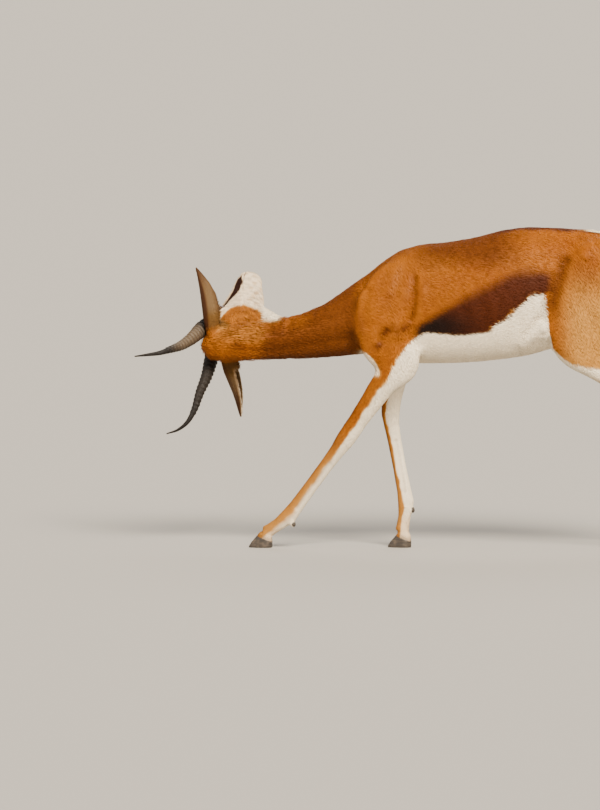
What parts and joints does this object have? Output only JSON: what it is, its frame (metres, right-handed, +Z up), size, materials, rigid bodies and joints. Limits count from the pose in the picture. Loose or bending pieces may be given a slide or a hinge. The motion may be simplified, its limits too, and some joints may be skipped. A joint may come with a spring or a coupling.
{
  "type": "springbok model",
  "caption": "Life-size still model of a springbok ram standing with spread legs, low outstretched neck and turned head, as a museum shows it.",
  "frame": {"origin": "on the floor, under the middle of the box around the animal", "axes": "+Z is up, +X points to the animal's rear along its length, so it faces -X, and its left side faces -Y"},
  "size_m": [1.3658, 0.3684, 0.776],
  "materials": {
    "fawn_coat": "short cinnamon hair, matt",
    "white_coat": "short white hair, matt",
    "ear_coat": "thin greyish hair, matt",
    "horn": "ringed black horn, satin",
    "hoof": "dark horn, satin",
    "eye": "dark brown, wet gloss"
  },
  "bodies": {
    "root": {"torso": "fawn_coat", "neck": "fawn_coat", "tail": "white_coat", "head": "white_coat", "ear_left": "ear_coat", "ear_right": "ear_coat", "horn_left": "horn", "horn_right": "horn", "eye_left": "eye", "eye_right": "eye", "fore_left_shoulder": "fawn_coat", "fore_left_forearm": "white_coat", "fore_left_cannon": "white_coat", "fore_left_claw_1": "hoof", "fore_left_claw_2": "hoof", "fore_right_shoulder": "fawn_coat", "fore_right_forearm": "white_coat", "fore_right_cannon": "white_coat", "fore_right_claw_1": "hoof", "fore_right_claw_2": "hoof", "hind_left_thigh": "fawn_coat", "hind_left_shank": "white_coat", "hind_left_cannon": "white_coat", "hind_left_claw_1": "hoof", "hind_left_claw_2": "hoof", "hind_right_thigh": "fawn_coat", "hind_right_shank": "white_coat", "hind_right_cannon": "white_coat", "hind_right_claw_1": "hoof", "hind_right_claw_2": "hoof"}
  },
  "joints": []
}
